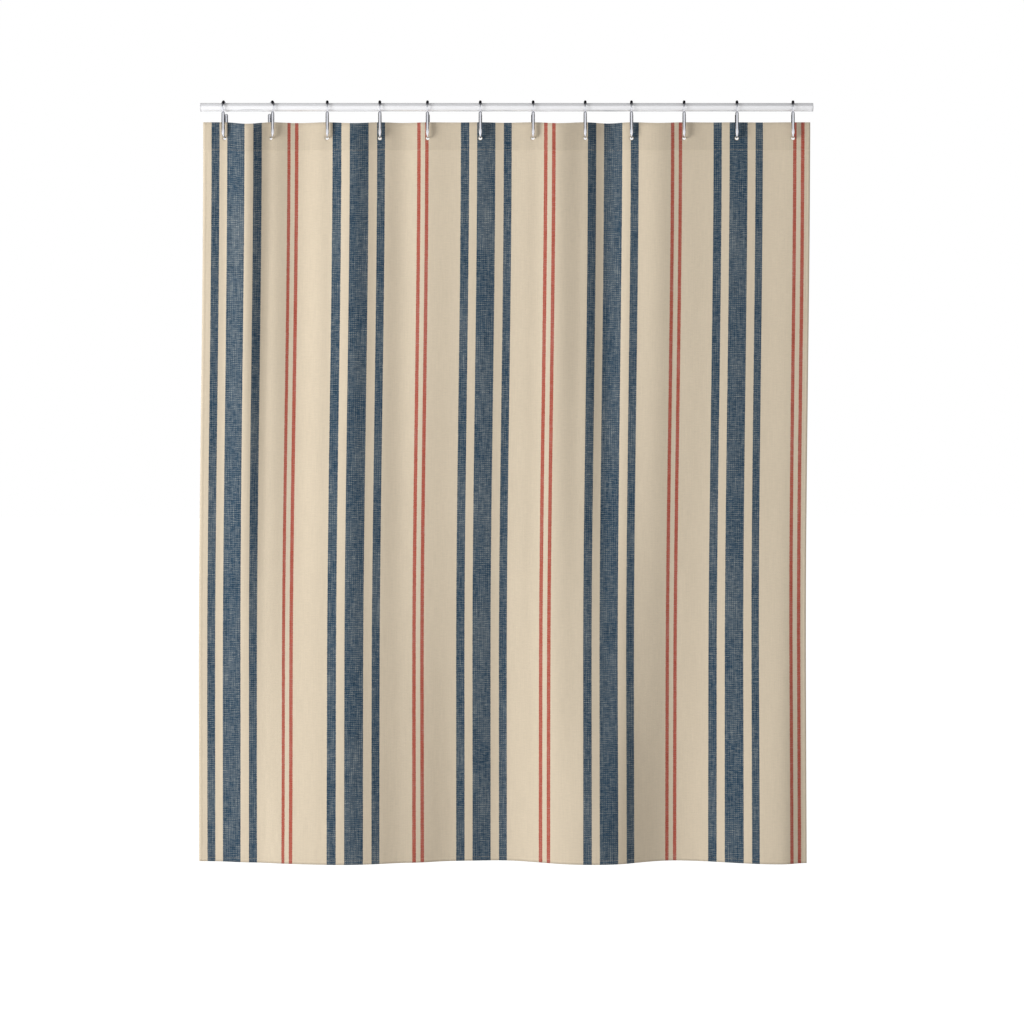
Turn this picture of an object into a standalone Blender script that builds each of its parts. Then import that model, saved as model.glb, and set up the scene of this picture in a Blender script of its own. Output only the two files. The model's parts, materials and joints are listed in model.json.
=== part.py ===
"""Shower curtain on its straight rod: tube, end plugs, twelve roller hooks and a hemmed cloth panel.

Frame: metres, +Z up, +X along the rod. The origin is the centre of the rod's left end face, and
-Y is the front, the side that faces into the room.
"""
import math

import bmesh
import bpy
import numpy as np
from mathutils import Matrix, Vector

# Curtain cloth
HUNG_WIDTH = 1.546        # width of the curtain as it hangs, across its folds
HEIGHT = 1.880            # finished height, top edge to bottom edge
PANEL_THICK = 0.0012
HEM_THICK = 0.0010        # the turned-in layer behind the panel
LAYER_GAP = 0.0003        # clearance between cloth layers, and between any pieces that touch
HEADER_DEPTH = 0.071      # deep top hem that holds the buttonholes
BOTTOM_HEM = 0.012
SIDE_HEM = 0.010
TOP_BELOW_ROD = 0.027     # from the underside of the rod to the curtain's top edge
SIDE_LEAN = 0.014         # how far the lower edge hangs towards the left end
LEAN_REACH = 1.40         # depth at which that lean is complete

CLOTH_COLUMNS = 66        # facets across the panel between its side hems
CLOTH_ROWS = 9            # facets down the panel between its top and bottom hems

# Folds: places are shares of the hung width, offsets are metres, minus is towards the room
FOLD_POINTS = (
    (0.000, 0.038), (0.228, -0.040), (0.482, 0.038), (0.656, -0.041),
    (0.797, 0.036), (0.934, -0.040), (1.000, 0.004),
)
FOLD_REACH = 1.15         # depth below the top edge at which the large folds are full
# One small scallop between each two hooks, by its depth at the top edge
SCALLOPS = (-0.024, 0.012, -0.014, 0.010, 0.009, 0.007, -0.014, 0.018, -0.010, 0.010, -0.008)

# Rod
ROD_OVERHANG = 0.007      # rod end beyond the curtain's edge
ROD_RADIUS = 0.011
ROD_WALL = 0.0012
CAP_FLANGE = 0.0020
CAP_SPIGOT = 0.0160
CAP_RUN = 0.0003          # clearance of the plug inside the tube
ROD_FACETS = 24

# Hooks: widths of the gaps from edge to first hook, from hook to hook, and from last hook to edge
HOOK_GAPS = (0.055, 0.118, 0.143, 0.134, 0.122, 0.134, 0.134, 0.133, 0.118, 0.134, 0.134, 0.143, 0.044)
HOOK_TURN_DEG = (14, -27, -5, -3, 2, 0, -2, 2, 4, 5, 3, 6)    # plus turns the rear leg to the right
WIRE_RADIUS = 0.0015      # thin wire of the crook and the neck
LEG_RADIUS = 0.0042       # thick front and rear legs
CURL_RADIUS = 0.0019      # where the wire passes through the buttonhole
LEG_SPREAD = 0.011        # from the curtain's plane to the middle of each leg
LEG_BELOW_ROD = 0.0014    # front leg's top under the rod
REAR_LEG_DROP = 0.0024    # how much lower the free rear leg ends
HOOK_RUN = 0.0003         # clearance of wire and roller over the rod
CROOK_END_DEG = -25.0     # where the crook ends behind the rod, from level
CROOK_START_DEG = 98.0    # where the crook's arc meets the straight wire of the roller
NECK_BOW = (-0.006, -0.004)    # forward of the wire's straight end, and the height, that the neck bows to
DOME_SHARES = (0.0, 0.12, 0.45, 1.0)    # cross sections of a leg's domed end, from its tip
DOME_HEIGHT = 0.8         # height of that dome in leg radii
REAR_TIP = 0.12           # flat middle of the rear leg's end in leg radii
CURL_EASE = 0.8           # how soon the legs thin into the curl; below 1 is sooner
CROOK_POINTS = 8
NECK_POINTS = 4
CURL_POINTS = 13
ROLLER_DEG = 45.0         # where the roller rests on the rod, from level in front
ROLLER_RADIUS = 0.0036
ROLLER_LENGTH = 0.0105
ROLLER_BORE_GAP = 0.0003
ROLLER_END_ROOM = 0.0012  # straight wire beyond each end of the roller
ROLLER_MOUTH = 0.78       # radius at the roller's ends, in roller radii
ROLLER_BARREL = 0.45      # share of the roller's length that is full width
ROLLER_FACETS = 12

# Buttonholes
HOLE_BELOW_TOP = 0.0408   # top edge of the curtain to the middle of the buttonhole
HOLE_HALF_WIDTH = 0.0040
HOLE_HALF_HEIGHT = 0.0036
STITCH_RADIUS = 0.0008    # half the width of the stitched rim
STITCH_SEAT = 0.0005      # wire to rim, where the curtain hangs from the hook
RIM_DEPTH = 0.6           # half the rim's depth, in depths of the two cloth layers
RIM_FACETS = (12, 6)      # round the opening, and round the rim's own section
CUTTER_SIDES = 16
CUTTER_LENGTH = 0.020
MERGE = 0.00001           # points closer than this are one

HOOK_COUNT = len(HOOK_TURN_DEG)
ROD_LENGTH = HUNG_WIDTH + 2 * ROD_OVERHANG
TOP_Z = -(ROD_RADIUS + TOP_BELOW_ROD)
HOLE_Z = TOP_Z - HOLE_BELOW_TOP
CURL_Z = HOLE_Z + HOLE_HALF_HEIGHT - STITCH_SEAT - CURL_RADIUS
HOOK_PLACES = np.cumsum(HOOK_GAPS)[:HOOK_COUNT] / sum(HOOK_GAPS)
LAYER_STEP = PANEL_THICK / 2 + LAYER_GAP + HEM_THICK / 2


def clear_scene():
    for thing in list(bpy.data.objects):
        bpy.data.objects.remove(thing, do_unlink=True)


def new_collection(name):
    group = bpy.data.collections.new(name)
    bpy.context.scene.collection.children.link(group)
    return group


def material(name, colour, roughness, metallic=0.0):
    """A Principled material of one colour."""
    made = bpy.data.materials.new(name)
    made.use_nodes = True
    shader = made.node_tree.nodes["Principled BSDF"]
    shader.inputs["Base Color"].default_value = (*colour, 1.0)
    shader.inputs["Roughness"].default_value = roughness
    shader.inputs["Metallic"].default_value = metallic
    return made


def add_mesh(name, bm, group, finish):
    """Turns a bmesh into a named object with one material."""
    mesh = bpy.data.meshes.new(name)
    bm.to_mesh(mesh)
    bm.free()
    return add_object(name, mesh, group, finish)


def add_object(name, data, group, finish):
    thing = bpy.data.objects.new(name, data)
    if finish is not None:
        thing.data.materials.append(finish)
    group.objects.link(thing)
    return thing


def turned(name, outline, steps, group, finish, axis_to, place):
    """An outline of (radius, height) points, spun about its own axis and laid along axis_to.

    An outline that starts on the axis ends on it too, and any other is joined up to a ring.
    """
    bm = bmesh.new()
    points = [bm.verts.new((radius, 0.0, height)) for radius, height in outline]
    for start, end in zip(points, points[1:]):
        bm.edges.new((start, end))
    if outline[0][0] > 0.0:
        bm.edges.new((points[-1], points[0]))
    thing = add_mesh(name, bm, group, finish)
    spin = thing.modifiers.new("Spin", "SCREW")
    spin.steps = steps
    spin.render_steps = steps
    spin.use_merge_vertices = True
    spin.merge_threshold = MERGE
    thing.rotation_mode = "QUATERNION"
    thing.rotation_quaternion = Vector((0.0, 0.0, 1.0)).rotation_difference(Vector(axis_to))
    thing.location = place
    return thing


# Rod

def make_rod(group, finish):
    """The steel tube, between the two plug flanges."""
    start = CAP_FLANGE + LAYER_GAP
    end = ROD_LENGTH - start
    inner = ROD_RADIUS - ROD_WALL
    outline = [(ROD_RADIUS, end), (ROD_RADIUS, start), (inner, start), (inner, end)]
    return turned("rod_tube", outline, ROD_FACETS, group, finish, (1, 0, 0), (0, 0, 0))


def make_end_plug(name, place, inward, group, finish):
    """A plug: a flange as wide as the tube, and a spigot inside it."""
    spigot = ROD_RADIUS - ROD_WALL - CAP_RUN
    far = CAP_FLANGE + CAP_SPIGOT
    outline = [
        (0.0, far), (spigot, far), (spigot, CAP_FLANGE),
        (ROD_RADIUS, CAP_FLANGE), (ROD_RADIUS, 0.0), (0.0, 0.0),
    ]
    return turned(name, outline, ROD_FACETS, group, finish, (inward, 0, 0), (place, 0, 0))


# Cloth

def smooth(share):
    """0 to 1 with level ends."""
    share = min(max(share, 0.0), 1.0)
    return share * share * (3.0 - 2.0 * share)


def large_fold(across):
    """Offset of the full folds: half cosine waves from each fold point to the next."""
    for (left, from_y), (right, to_y) in zip(FOLD_POINTS, FOLD_POINTS[1:]):
        if across <= right:
            break
    part = (1.0 - math.cos(math.pi * (across - left) / (right - left))) / 2.0
    return from_y + (to_y - from_y) * part


def scallop(across):
    """Offset of the top edge: nothing at each hook, and one soft bow between two hooks."""
    if across <= HOOK_PLACES[0] or across >= HOOK_PLACES[-1]:
        return 0.0
    gap = int(np.searchsorted(HOOK_PLACES, across)) - 1
    left, right = HOOK_PLACES[gap], HOOK_PLACES[gap + 1]
    return SCALLOPS[gap] * math.sin(math.pi * (across - left) / (right - left)) ** 2


def cloth_point(across, depth):
    """A point of the curtain's middle surface, from a share of the width and a depth in metres."""
    full = smooth(depth / FOLD_REACH)
    y = (1.0 - full) * scallop(across) + full * large_fold(across)
    x = ROD_OVERHANG + across * HUNG_WIDTH - SIDE_LEAN * smooth(depth / LEAN_REACH)
    return Vector((x, y, TOP_Z - depth))


def cloth_normal(across, depth):
    """The level direction that points out of the back of the cloth."""
    step = 0.001
    along = cloth_point(across + step, depth) - cloth_point(across - step, depth)
    return Vector((-along.y, along.x, 0.0)).normalized()


def stations(edges, middle_count):
    """Cut lines of the cloth: those at the hems' edges, with an even run between the inner two."""
    inner = np.linspace(edges[1], edges[2], middle_count + 1)[1:-1]
    return sorted({*edges, *inner})


def cloth_strip(name, across, depths, behind, thick, group, finish):
    """A closed strip of cloth through the given lines, set behind the curtain's middle surface.

    All the strips share the panel's lines, so that their facets stay parallel.
    """
    columns, rows = len(across) - 1, len(depths) - 1
    bm = bmesh.new()
    bmesh.ops.create_grid(bm, x_segments=columns, y_segments=rows, size=0.5)
    for vert in bm.verts:
        share = across[round((vert.co.x + 0.5) * columns)]
        drop = depths[round((0.5 - vert.co.y) * rows)]
        vert.co = cloth_point(share, drop) + behind * cloth_normal(share, drop)
    bmesh.ops.recalc_face_normals(bm, faces=bm.faces)
    thing = add_mesh(name, bm, group, finish)
    wall = thing.modifiers.new("Cloth", "SOLIDIFY")
    wall.thickness = thick
    wall.offset = 0.0
    return thing


def ellipse_cutters(group):
    """One elliptical bar through the cloth at each buttonhole, wider than the stitched rim."""
    bm = bmesh.new()
    rim = 2 * STITCH_RADIUS + LAYER_GAP
    for across in HOOK_PLACES:
        middle = cloth_point(across, HOLE_BELOW_TOP)
        turn = Matrix.Rotation(math.pi / 2, 4, "X")
        size = Matrix.Diagonal((HOLE_HALF_WIDTH + rim, HOLE_HALF_HEIGHT + rim, 1.0, 1.0))
        bmesh.ops.create_cone(
            bm, cap_ends=True, segments=CUTTER_SIDES, radius1=1.0, radius2=1.0, depth=CUTTER_LENGTH,
            matrix=Matrix.Translation(middle) @ turn @ size)
    thing = add_mesh("buttonhole_cutter", bm, group, None)
    thing.hide_render = True
    thing.display_type = "WIRE"
    return thing


def cut(thing, cutter):
    hole = thing.modifiers.new("Buttonholes", "BOOLEAN")
    hole.operation = "DIFFERENCE"
    hole.object = cutter


def make_curtain(group, cutters, cloth, hem):
    """The panel and the turned hems that lie behind it."""
    side = SIDE_HEM / HUNG_WIDTH
    across = stations((0.0, side, 1.0 - side, 1.0), CLOTH_COLUMNS)
    depths = stations((0.0, HEADER_DEPTH, HEIGHT - BOTTOM_HEM, HEIGHT), CLOTH_ROWS)
    beside = [HEADER_DEPTH + LAYER_GAP, *depths[2:-2], HEIGHT - BOTTOM_HEM - LAYER_GAP]
    cutter = ellipse_cutters(cutters)
    panel = cloth_strip("curtain_panel", across, depths, 0.0, PANEL_THICK, group, cloth)
    cut(panel, cutter)
    header = cloth_strip("top_hem", across, depths[:2], LAYER_STEP, HEM_THICK, group, hem)
    cut(header, cutter)
    cloth_strip("bottom_hem", across, depths[-2:], LAYER_STEP, HEM_THICK, group, hem)
    cloth_strip("left_hem", across[:2], beside, LAYER_STEP, HEM_THICK, group, hem)
    cloth_strip("right_hem", across[-2:], beside, LAYER_STEP, HEM_THICK, group, hem)


def make_buttonhole(name, across, group, finish):
    """The stitched rim of one buttonhole: an upright oval ring as deep as the two cloth layers."""
    bm = bmesh.new()
    around, section = RIM_FACETS
    deep = PANEL_THICK / 2 + LAYER_STEP + HEM_THICK / 2
    wide = HOLE_HALF_WIDTH + STITCH_RADIUS
    tall = HOLE_HALF_HEIGHT + STITCH_RADIUS
    bmesh.ops.create_grid(bm, x_segments=around, y_segments=section, size=0.5)
    for vert in bm.verts:
        turn = 2 * math.pi * (vert.co.x + 0.5)
        roll = 2 * math.pi * (vert.co.y + 0.5)
        out = STITCH_RADIUS * math.cos(roll)
        vert.co = Vector((
            (wide + out) * math.cos(turn),
            LAYER_STEP / 2 + RIM_DEPTH * deep * math.sin(roll),
            (tall + out) * math.sin(turn)))
    bmesh.ops.remove_doubles(bm, verts=bm.verts, dist=MERGE)
    bmesh.ops.recalc_face_normals(bm, faces=bm.faces)
    thing = add_mesh(name, bm, group, finish)
    thing.location = cloth_point(across, HOLE_BELOW_TOP)
    return thing


# Hooks

def arc(middle, radius, start_deg, end_deg, count):
    """Points (y, z) on an arc in the hook's own plane, angles from +Y towards +Z."""
    turns = np.radians(np.linspace(start_deg, end_deg, count))
    return [(middle[0] + radius * math.cos(a), middle[1] + radius * math.sin(a)) for a in turns]


def slant(turn_deg):
    """How much wider than the rod a hook's crook is, because it crosses the rod at a slant."""
    return 1.0 / math.cos(math.radians(turn_deg))


def roller_seat(turn_deg):
    """Middle of the roller, and the wire's direction through it, in the hook's own plane."""
    reach = ROD_RADIUS + HOOK_RUN + ROLLER_RADIUS
    angle = math.radians(ROLLER_DEG)
    middle = Vector((0.0, -reach * math.cos(angle) * slant(turn_deg), reach * math.sin(angle)))
    along = Vector((0.0, -math.sin(angle) * slant(turn_deg), -math.cos(angle)))
    return middle, along.normalized()


def bezier(start, pull, end, count):
    """Points of a quadratic curve, its two ends left out."""
    made = []
    for t in np.linspace(0, 1, count + 2)[1:-1]:
        point = (1 - t) ** 2 * start + 2 * t * (1 - t) * pull + t * t * end
        made.append(tuple(point))
    return made


def dome(share, tip, full):
    """Radius of a leg's rounded end at a share of its height: a quarter circle from tip to full."""
    return tip + (full - tip) * math.sqrt(1 - (1 - share) ** 2)


def hook_route(turn_deg):
    """The hook's middle line as (y, z, radius), from the crook's end to the rear leg's top."""
    crook = ROD_RADIUS + HOOK_RUN + WIRE_RADIUS
    over = arc((0, 0), crook, CROOK_END_DEG, CROOK_START_DEG, CROOK_POINTS)
    route = [(y * slant(turn_deg), z, WIRE_RADIUS) for y, z in over]

    middle, along = roller_seat(turn_deg)
    half = ROLLER_LENGTH / 2 + ROLLER_END_ROOM
    enter, leave = middle - half * along, middle + half * along
    route += [(p.y, p.z, WIRE_RADIUS) for p in (enter, leave)]

    top = -(ROD_RADIUS + LEG_BELOW_ROD)
    forward, height = NECK_BOW
    ends = np.array([(leave.y, leave.z), (leave.y + forward, height), (-LEG_SPREAD, top)])
    route += [(y, z, WIRE_RADIUS) for y, z in bezier(*ends, NECK_POINTS)]

    drop = DOME_HEIGHT * LEG_RADIUS
    route += [(-LEG_SPREAD, top - drop * t, dome(t, WIRE_RADIUS, LEG_RADIUS)) for t in DOME_SHARES]

    curl = arc((0, CURL_Z + LEG_SPREAD), LEG_SPREAD, 180, 360, CURL_POINTS)
    for index, (y, z) in enumerate(curl):
        thin = math.sin(math.pi * index / (CURL_POINTS - 1)) ** CURL_EASE
        route.append((y, z, LEG_RADIUS + (CURL_RADIUS - LEG_RADIUS) * thin))

    rear = top - REAR_LEG_DROP
    tip = REAR_TIP * LEG_RADIUS
    route += [(LEG_SPREAD, rear - drop * t, dome(t, tip, LEG_RADIUS)) for t in reversed(DOME_SHARES)]
    return route


def hook_mesh(turn_deg):
    """The bent wire as one closed tube whose thickness follows the route."""
    route = hook_route(turn_deg)
    wire = bpy.data.curves.new("hook_wire", "CURVE")
    wire.dimensions = "3D"
    wire.bevel_depth = LEG_RADIUS
    wire.bevel_resolution = 1
    wire.use_fill_caps = True
    line = wire.splines.new("POLY")
    line.points.add(len(route) - 1)
    for point, (y, z, radius) in zip(line.points, route):
        point.co = (0.0, y, z, 1.0)
        point.radius = radius / LEG_RADIUS
    carrier = bpy.data.objects.new("hook_wire", wire)
    bpy.context.scene.collection.objects.link(carrier)
    bpy.context.view_layer.update()
    shaped = carrier.evaluated_get(bpy.context.evaluated_depsgraph_get())
    mesh = bpy.data.meshes.new_from_object(shaped)
    bpy.data.objects.remove(carrier, do_unlink=True)
    bm = bmesh.new()
    bm.from_mesh(mesh)
    bmesh.ops.remove_doubles(bm, verts=bm.verts, dist=MERGE)
    bmesh.ops.recalc_face_normals(bm, faces=bm.faces)
    bm.to_mesh(mesh)
    bm.free()
    mesh.shade_smooth()
    return mesh


def make_hooks(group, chrome, dark_chrome, thread):
    """Each hook with its roller and the buttonhole it passes through."""
    bore = WIRE_RADIUS + ROLLER_BORE_GAP
    half = ROLLER_LENGTH / 2
    mouth = ROLLER_MOUTH * ROLLER_RADIUS
    flat = ROLLER_BARREL * half
    barrel = [
        (bore, half), (mouth, half), (ROLLER_RADIUS, flat),
        (ROLLER_RADIUS, -flat), (mouth, -half), (bore, -half),
    ]
    for number, (across, turn_deg) in enumerate(zip(HOOK_PLACES, HOOK_TURN_DEG), start=1):
        x = ROD_OVERHANG + across * HUNG_WIDTH
        turn = Matrix.Rotation(math.radians(-turn_deg), 3, "Z")
        hook = add_object(f"hook_{number:02d}", hook_mesh(turn_deg), group, chrome)
        hook.location = (x, 0.0, 0.0)
        hook.rotation_euler = (0.0, 0.0, math.radians(-turn_deg))
        middle, along = roller_seat(turn_deg)
        place = turn @ middle + Vector((x, 0.0, 0.0))
        turned(f"roller_{number:02d}", barrel, ROLLER_FACETS, group, dark_chrome, turn @ along, place)
        make_buttonhole(f"buttonhole_{number:02d}", across, group, thread)


def main():
    clear_scene()
    parts = new_collection("shower_curtain")
    cutters = new_collection("cutters")
    steel = material("rod_steel", (0.80, 0.80, 0.83), 0.22, 1.0)
    plug = material("plug_white", (0.82, 0.82, 0.84), 0.35)
    chrome = material("hook_chrome", (0.62, 0.63, 0.67), 0.12, 1.0)
    dark_chrome = material("roller_chrome", (0.22, 0.22, 0.25), 0.18, 1.0)
    cloth = material("ticking_cloth", (0.66, 0.56, 0.43), 0.90)
    hem = material("hem_cloth", (0.60, 0.51, 0.39), 0.90)
    thread = material("buttonhole_thread", (0.70, 0.61, 0.48), 0.85)
    make_rod(parts, steel)
    make_end_plug("end_plug_left", 0.0, 1, parts, plug)
    make_end_plug("end_plug_right", ROD_LENGTH, -1, parts, plug)
    make_curtain(parts, cutters, cloth, hem)
    make_hooks(parts, chrome, dark_chrome, thread)


main()
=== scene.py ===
# %% [markdown]
# A striped shower curtain, made in cells
#
# The object is a cloth curtain that hangs by stitched buttonholes from twelve roller hooks on a
# straight rod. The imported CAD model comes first, as a fixed frame: it says where the rod, the
# hooks and the cloth are, and every piece made here takes its place from it.

# %% Load the frame and keep its box
import json
import math

import bmesh
import bpy
import numpy as np
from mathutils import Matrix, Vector

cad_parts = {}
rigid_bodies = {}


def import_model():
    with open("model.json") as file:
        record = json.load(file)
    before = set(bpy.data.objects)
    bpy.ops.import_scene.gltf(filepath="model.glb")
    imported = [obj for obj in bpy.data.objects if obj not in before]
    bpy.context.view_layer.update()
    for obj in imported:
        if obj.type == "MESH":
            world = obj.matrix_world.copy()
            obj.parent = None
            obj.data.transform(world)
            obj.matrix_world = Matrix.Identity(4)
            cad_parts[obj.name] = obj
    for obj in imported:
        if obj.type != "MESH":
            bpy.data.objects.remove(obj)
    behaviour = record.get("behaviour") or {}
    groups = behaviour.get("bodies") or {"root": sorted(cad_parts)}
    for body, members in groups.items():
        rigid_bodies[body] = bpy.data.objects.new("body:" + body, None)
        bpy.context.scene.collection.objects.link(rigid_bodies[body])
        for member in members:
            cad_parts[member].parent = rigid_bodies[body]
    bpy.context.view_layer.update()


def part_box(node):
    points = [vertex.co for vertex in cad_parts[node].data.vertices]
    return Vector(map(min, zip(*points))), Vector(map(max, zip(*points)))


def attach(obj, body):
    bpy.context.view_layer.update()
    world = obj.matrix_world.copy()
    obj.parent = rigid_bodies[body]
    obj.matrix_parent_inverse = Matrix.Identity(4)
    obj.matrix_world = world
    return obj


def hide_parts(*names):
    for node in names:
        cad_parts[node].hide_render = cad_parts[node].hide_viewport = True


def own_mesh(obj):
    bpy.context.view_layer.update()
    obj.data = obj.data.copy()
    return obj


for thing in list(bpy.data.objects):
    bpy.data.objects.remove(thing, do_unlink=True)
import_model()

# %% [markdown]
# The sizes that the looks need are read from the frame's boxes where they can be, and named here
# where they can't. Everything is in metres: +X runs along the rod, -Y is the front, +Z is up.

# %% Sizes from the frame
HOOKS = [f"{number:02d}" for number in range(1, 13)]
rod_low, rod_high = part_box("rod_tube")
_, plug_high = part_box("end_plug_right")
panel_low, panel_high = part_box("curtain_panel")
ROD_RADIUS = (rod_high.z - rod_low.z) / 2
ROD_END = plug_high.x
CLOTH_TOP = panel_high.z
CLOTH_HEIGHT = panel_high.z - panel_low.z
CLOTH_RIGHT = panel_high.x
CLOTH_LEFT = ROD_END - CLOTH_RIGHT
HUNG_WIDTH = CLOTH_RIGHT - CLOTH_LEFT
hole_low, hole_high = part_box("buttonhole_06")
HOLE_Z = (hole_low.z + hole_high.z) / 2
HOLE_DEPTH = CLOTH_TOP - HOLE_Z
hole_boxes = [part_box(f"buttonhole_{number}") for number in HOOKS]
HOOK_X = np.array([(low.x + high.x) / 2 for low, high in hole_boxes])
print("rod radius", ROD_RADIUS, "cloth", HUNG_WIDTH, "by", CLOTH_HEIGHT, "hooks at", HOOK_X.round(3))


# %% [markdown]
# Two helpers carry nearly everything here. A surface is a function of two parameters, worked out
# on a whole grid of numbers at once; the first helper turns such a grid of points into a mesh,
# closed round either way if asked. The second adds and links the nodes of a material, or of the
# world, by short calls that read like sums.

# %% Helper: a mesh from a grid of points
def grid_faces(rows, columns, wrap_rows=False, wrap_columns=False):
    """Four-cornered faces between neighbours in a rows by columns grid of points."""
    index = np.arange(rows * columns).reshape(rows, columns)
    if wrap_rows:
        index = np.vstack([index, index[:1]])
    if wrap_columns:
        index = np.hstack([index, index[:, :1]])
    corners = (index[:-1, :-1], index[:-1, 1:], index[1:, 1:], index[1:, :-1])
    return np.stack([corner.ravel() for corner in corners], axis=1)


def mesh_object(name, points, faces, smooth=True):
    """An object at the origin whose mesh holds these points and these lists of corner numbers."""
    mesh = bpy.data.meshes.new(name)
    corners = [list(map(int, face)) for face in faces]
    mesh.from_pydata(np.asarray(points, float).reshape(-1, 3).tolist(), [], corners)
    mesh.update()
    if smooth:
        mesh.shade_smooth()
    thing = bpy.data.objects.new(name, mesh)
    bpy.context.scene.collection.objects.link(thing)
    return thing


def outward(thing, merge=True):
    """Turns every face to point out of the closed shape, once points that coincide are merged."""
    bm = bmesh.new()
    bm.from_mesh(thing.data)
    if merge:
        bmesh.ops.remove_doubles(bm, verts=bm.verts, dist=1e-6)
    bmesh.ops.recalc_face_normals(bm, faces=bm.faces)
    bm.to_mesh(thing.data)
    bm.free()
    thing.data.update()


# %% Helper: nodes and materials
class Nodes:
    """A node tree, with short calls that add nodes and link them."""

    def __init__(self, tree):
        self.tree = tree

    def feed(self, socket, value):
        """Links an output to a socket, or sets the socket if the value is a plain number or tuple."""
        if isinstance(value, bpy.types.NodeSocket):
            self.tree.links.new(value, socket)
        else:
            socket.default_value = value

    def node(self, kind, inputs=None, **settings):
        """A new node with its settings made and its inputs fed."""
        made = self.tree.nodes.new(kind)
        for key, value in settings.items():
            setattr(made, key, value)
        for key, value in (inputs or {}).items():
            self.feed(made.inputs[key], value)
        return made

    def math(self, operation, first, second=0.0):
        """One sum, such as SUBTRACT: first minus second."""
        return self.node("ShaderNodeMath", {0: first, 1: second}, operation=operation).outputs[0]

    def plus(self, first, second):
        """The two added."""
        return self.math("ADD", first, second)

    def times(self, first, second):
        """The two multiplied."""
        return self.math("MULTIPLY", first, second)

    def ramp(self, factor, low, high, at_low=0.0, at_high=1.0):
        """at_low below low, at_high above high, and even between."""
        span = {"From Min": low, "From Max": high, "To Min": at_low, "To Max": at_high}
        return self.node("ShaderNodeMapRange", {"Value": factor, **span}).outputs[0]

    def noise(self, vector, scale, detail=2.0, roughness=0.5):
        """Smooth noise about 0.5, with `scale` swells to a metre and finer detail on them."""
        swells = {"Vector": vector, "Scale": scale, "Detail": detail, "Roughness": roughness}
        return self.node("ShaderNodeTexNoise", swells).outputs["Fac"]

    def stretched(self, vector, scale, shift=(0.0, 0.0, 0.0)):
        """The vector with its own scale along each axis, so that noise on it is drawn out into threads."""
        placed = {"Vector": vector, "Scale": scale, "Location": shift}
        return self.node("ShaderNodeMapping", placed).outputs[0]

    def mix(self, factor, first, second, blend="MIX"):
        """The first colour at factor 0 and, at 1, the second laid over it."""
        made = self.node("ShaderNodeMix", data_type="RGBA", blend_type=blend, clamp_factor=True)
        self.feed(made.inputs[0], factor)
        self.feed(made.inputs[6], first)
        self.feed(made.inputs[7], second)
        return made.outputs[2]

    def bump(self, height, distance, strength=1.0):
        """A normal that leans as a relief of this height, times the distance in metres, would."""
        relief = {"Height": height, "Distance": distance, "Strength": strength}
        return self.node("ShaderNodeBump", relief).outputs[0]


class Finish(Nodes):
    """A Principled material: constants are set on its sockets at once, and `done` links the rest."""

    def __init__(self, name, **constants):
        self.material = bpy.data.materials.new(name)
        self.material.use_nodes = True
        super().__init__(self.material.node_tree)
        self.shader = self.tree.nodes["Principled BSDF"]
        self.done(**constants)

    def done(self, **sockets):
        """Feeds the shader's sockets, whose names have _ for a space, and returns the material."""
        for socket, value in sockets.items():
            self.feed(self.shader.inputs[socket.replace("_", " ")], value)
        return self.material


def colour(red, green, blue):
    """A screen colour from 0 to 255 a channel as the linear colour that a shader takes."""
    share = np.array([red, green, blue]) / 255.0
    linear = np.where(share <= 0.04045, share / 12.92, ((share + 0.055) / 1.055) ** 2.4)
    return (*linear.tolist(), 1.0)


# %% [markdown]
# The camera stands level with the middle of the curtain and a little over five metres away, as for
# a catalogue picture, so the cloth shows hardly any perspective. A long lens would flatten it
# further, and a short one would show the hooks from below.

# %% Camera
CAMERA_BACK = 5.5
CAMERA_X = 0.7935
CAMERA_Z = -1.0305
VIEW_WIDTH = 2.608        # what the frame spans at the curtain
SENSOR = 36.0
camera_data = bpy.data.cameras.new("camera")
camera_data.sensor_width = SENSOR
camera_data.lens = SENSOR * CAMERA_BACK / VIEW_WIDTH
camera = bpy.data.objects.new("camera", camera_data)
camera.location = (CAMERA_X, -CAMERA_BACK, CAMERA_Z)
camera.rotation_euler = (math.pi / 2, 0.0, 0.0)
bpy.context.scene.collection.objects.link(camera)
bpy.context.scene.camera = camera
bpy.context.scene.view_settings.view_transform = "Standard"
print("lens", round(camera_data.lens, 1), "mm")

# %% [markdown]
# One large soft lamp stands to the left, so the folds that face left are light and those that face
# right are a little darker. It is kept out of reflections, where it would be a hard white patch.
# The pale floor also gives a little light of its own, so that it meets the backdrop without a line.
# That light is nearly all taken back where it would fall on matt things, or the hem would glow.

# %% Floor and lamp
FLOOR_Z = -2.13
FLOOR_SIZE = 400.0
FLOOR_GREY = (0.45, 0.45, 0.45, 1.0)
FLOOR_GLOW = 0.78         # its own light, as the camera and polished metal see it
GLOW_KEPT_BACK = 0.72     # how much of that never reaches matt things
LAMP_PLACE = (-5.2, -3.6, -0.3)
LAMP_SIZE = (2.4, 3.6)
LAMP_WATTS = 350
WHITE = (1.0, 1.0, 1.0, 1.0)

lamp_data = bpy.data.lights.new("key_lamp", "AREA")
lamp_data.shape = "RECTANGLE"
lamp_data.size, lamp_data.size_y = LAMP_SIZE
lamp_data.energy = LAMP_WATTS
key_lamp = bpy.data.objects.new("key_lamp", lamp_data)
key_lamp.location = LAMP_PLACE
aim = Vector((CAMERA_X, 0.0, CAMERA_Z)) - Vector(LAMP_PLACE)
key_lamp.rotation_mode = "QUATERNION"
key_lamp.rotation_quaternion = aim.to_track_quat("-Z", "Y")
key_lamp.visible_glossy = False
bpy.context.scene.collection.objects.link(key_lamp)

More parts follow.
